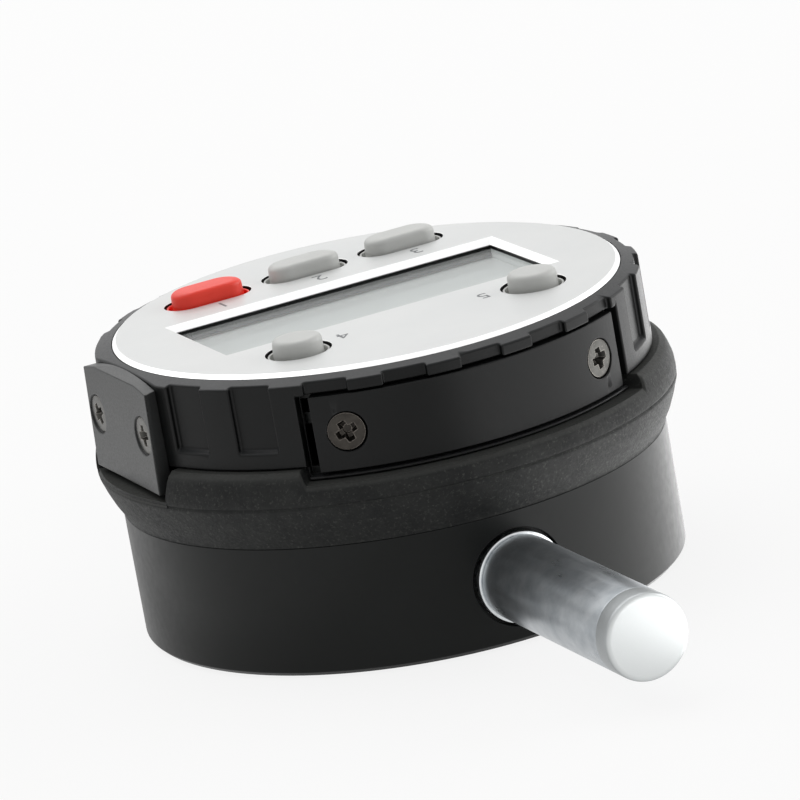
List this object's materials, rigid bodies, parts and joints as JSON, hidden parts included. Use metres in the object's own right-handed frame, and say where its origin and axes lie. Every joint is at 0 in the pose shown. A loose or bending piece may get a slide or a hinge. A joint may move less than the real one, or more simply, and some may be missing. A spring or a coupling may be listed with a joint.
{
  "type": "digital dial indicator",
  "caption": "Round digital dial indicator with a turning display head, sprung plunger in a clamping stem, dust cap, and battery and data covers on its rim.",
  "frame": {"origin": "centre of the flat back face, the face that it can lie on", "axes": "+Z out of the display; +Y towards the dust cap; -Y towards the contact point; +X towards the data cover"},
  "size_m": [0.0631, 0.1297, 0.034],
  "materials": {
    "case_paint": "satin black",
    "back_paint": "satin black",
    "screw_steel": "plain",
    "stem_steel": "ground",
    "bush_brass": "plain",
    "cap_aluminium": "satin",
    "rail_plastic": "moulded",
    "board_green": "solder mask",
    "ring_aluminium": "machined",
    "spindle_steel": "ground",
    "ball_chrome": "polished",
    "collar_rubber": "matt",
    "face_aluminium": "satin",
    "lens_clear": "clear",
    "lcd_grey": "display, switched off",
    "frame_plastic": "moulded",
    "dark_plastic": "moulded",
    "cell_steel": "plated",
    "cover_plastic": "fine grain",
    "dark_screw": "dark oxide",
    "button_red": "silicone",
    "button_grey": "silicone"
  },
  "bodies": {
    "base": {"rear_case": "case_paint", "back_cover": "back_paint", "back_screws": "screw_steel", "stem": "stem_steel", "stem_bush": "bush_brass", "cap_bush": "cap_aluminium", "dust_cap": "cap_aluminium", "cap_end": "cap_aluminium", "guide_rail": "rail_plastic", "guide_screws": "screw_steel", "reader_board": "board_green", "reader_screws": "screw_steel", "swivel_ring": "ring_aluminium", "ring_screws": "screw_steel", "stop_pin": "screw_steel", "return_spring": "screw_steel"},
    "spindle_set": {"spindle": "spindle_steel", "contact_point": "spindle_steel", "contact_ball": "ball_chrome", "scale_carrier": "ring_aluminium", "scale_strip": "board_green", "guide_pin": "screw_steel"},
    "head": {"head_case": "case_paint", "seal_collar": "collar_rubber", "face_plate": "face_aluminium", "lcd_lens": "lens_clear", "lcd_panel": "lcd_grey", "lcd_frame": "frame_plastic", "main_board": "board_green", "board_screws": "screw_steel", "switches": "dark_plastic", "battery_tray": "dark_plastic", "coin_cell": "cell_steel", "battery_contact": "bush_brass", "battery_cover": "cover_plastic", "battery_screws": "dark_screw", "data_cover": "cover_plastic", "data_screws": "dark_screw", "data_socket": "dark_plastic"},
    "power_key": {"power_button": "button_red"},
    "mode_key": {"mode_button": "button_grey"},
    "unit_key": {"unit_button": "button_grey"},
    "zero_key": {"zero_button": "button_grey"},
    "tolerance_key": {"tolerance_button": "button_grey"}
  },
  "joints": [
    {"name": "spindle_slide", "type": "slide", "parent": "base", "child": "spindle_set", "axis": [0, 1, 0], "range_m": [0, 0.0127], "stiffness_N_per_m": 40, "springref_m": -0.0125, "deforming": ["return_spring"]},
    {"name": "head_turn", "type": "hinge", "parent": "base", "child": "head", "pos_m": [0, 0, 0.0162], "axis": [0, 0, 1], "range_deg": [-135, 135]},
    {"name": "power_press", "type": "slide", "parent": "head", "child": "power_key", "axis": [0, 0, -1], "range_m": [0, 0.0004], "stiffness_N_per_m": 500, "springref_m": -0.001},
    {"name": "mode_press", "type": "slide", "parent": "head", "child": "mode_key", "axis": [0, 0, -1], "range_m": [0, 0.0004], "stiffness_N_per_m": 500, "springref_m": -0.001},
    {"name": "unit_press", "type": "slide", "parent": "head", "child": "unit_key", "axis": [0, 0, -1], "range_m": [0, 0.0004], "stiffness_N_per_m": 500, "springref_m": -0.001},
    {"name": "zero_press", "type": "slide", "parent": "head", "child": "zero_key", "axis": [0, 0, -1], "range_m": [0, 0.0004], "stiffness_N_per_m": 500, "springref_m": -0.001},
    {"name": "tolerance_press", "type": "slide", "parent": "head", "child": "tolerance_key", "axis": [0, 0, -1], "range_m": [0, 0.0004], "stiffness_N_per_m": 500, "springref_m": -0.001}
  ]
}
